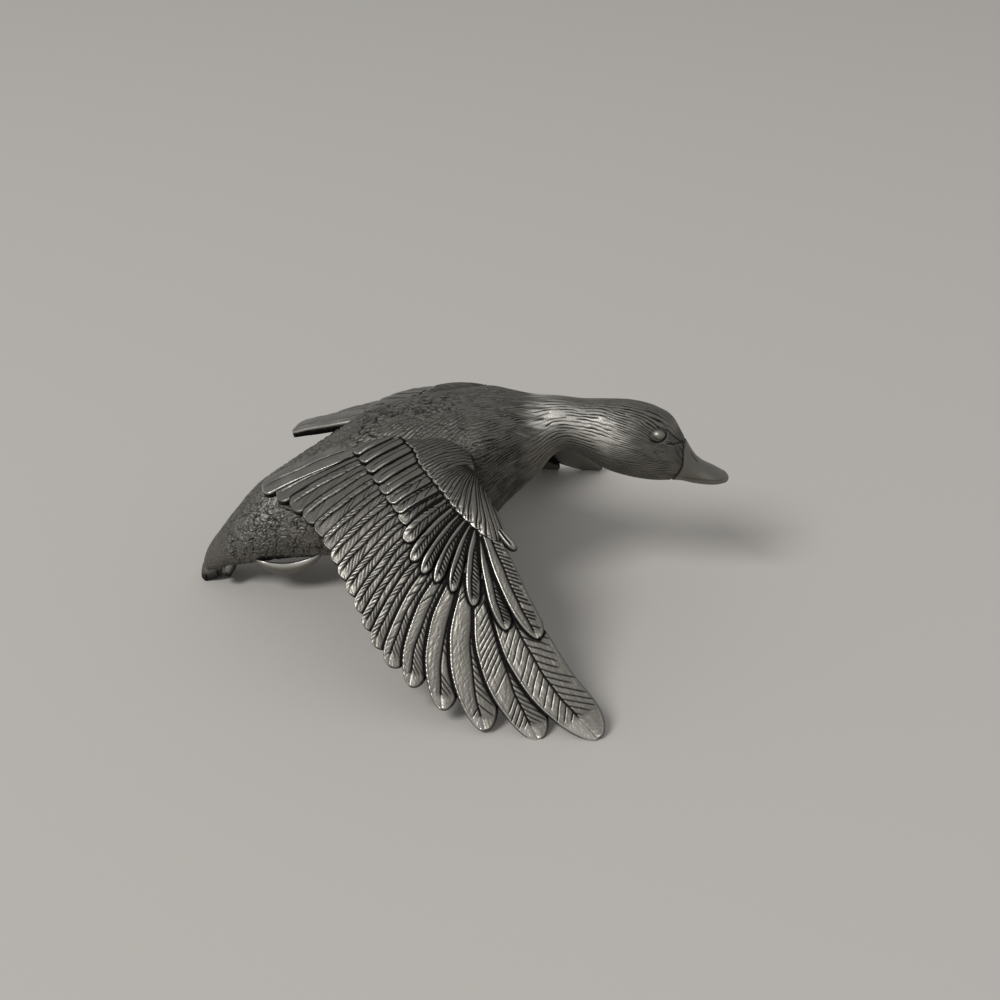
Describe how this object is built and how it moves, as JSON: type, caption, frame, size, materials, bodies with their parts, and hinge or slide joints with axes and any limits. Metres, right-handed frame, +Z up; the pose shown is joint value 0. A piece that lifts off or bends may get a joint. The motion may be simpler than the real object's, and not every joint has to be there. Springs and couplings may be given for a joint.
{
  "type": "duck figurine",
  "caption": "Cast pewter mallard in flight with layered, drooping wings; a free-standing desk ornament that rests on its tail and both wing tips.",
  "frame": {"origin": "on the table under the middle of the figurine's box", "axes": "+X towards the bill, +Y to the bird's left along the wing span, +Z up from the table"},
  "size_m": [0.1106, 0.1144, 0.0429],
  "materials": {
    "antiqued_pewter": "antiqued: carved hollows stained near black, high spots rubbed to a satin grey",
    "feathered_pewter": "antiqued: bright rubbed feather edges over dark recesses",
    "rubbed_pewter": "plain satin, lightly rubbed"
  },
  "bodies": {
    "root": {"body": "antiqued_pewter", "tail_fan": "antiqued_pewter", "right_wing": "feathered_pewter", "left_wing": "feathered_pewter", "right_foot": "rubbed_pewter", "left_foot": "rubbed_pewter", "right_eye": "rubbed_pewter", "left_eye": "rubbed_pewter"}
  },
  "joints": []
}
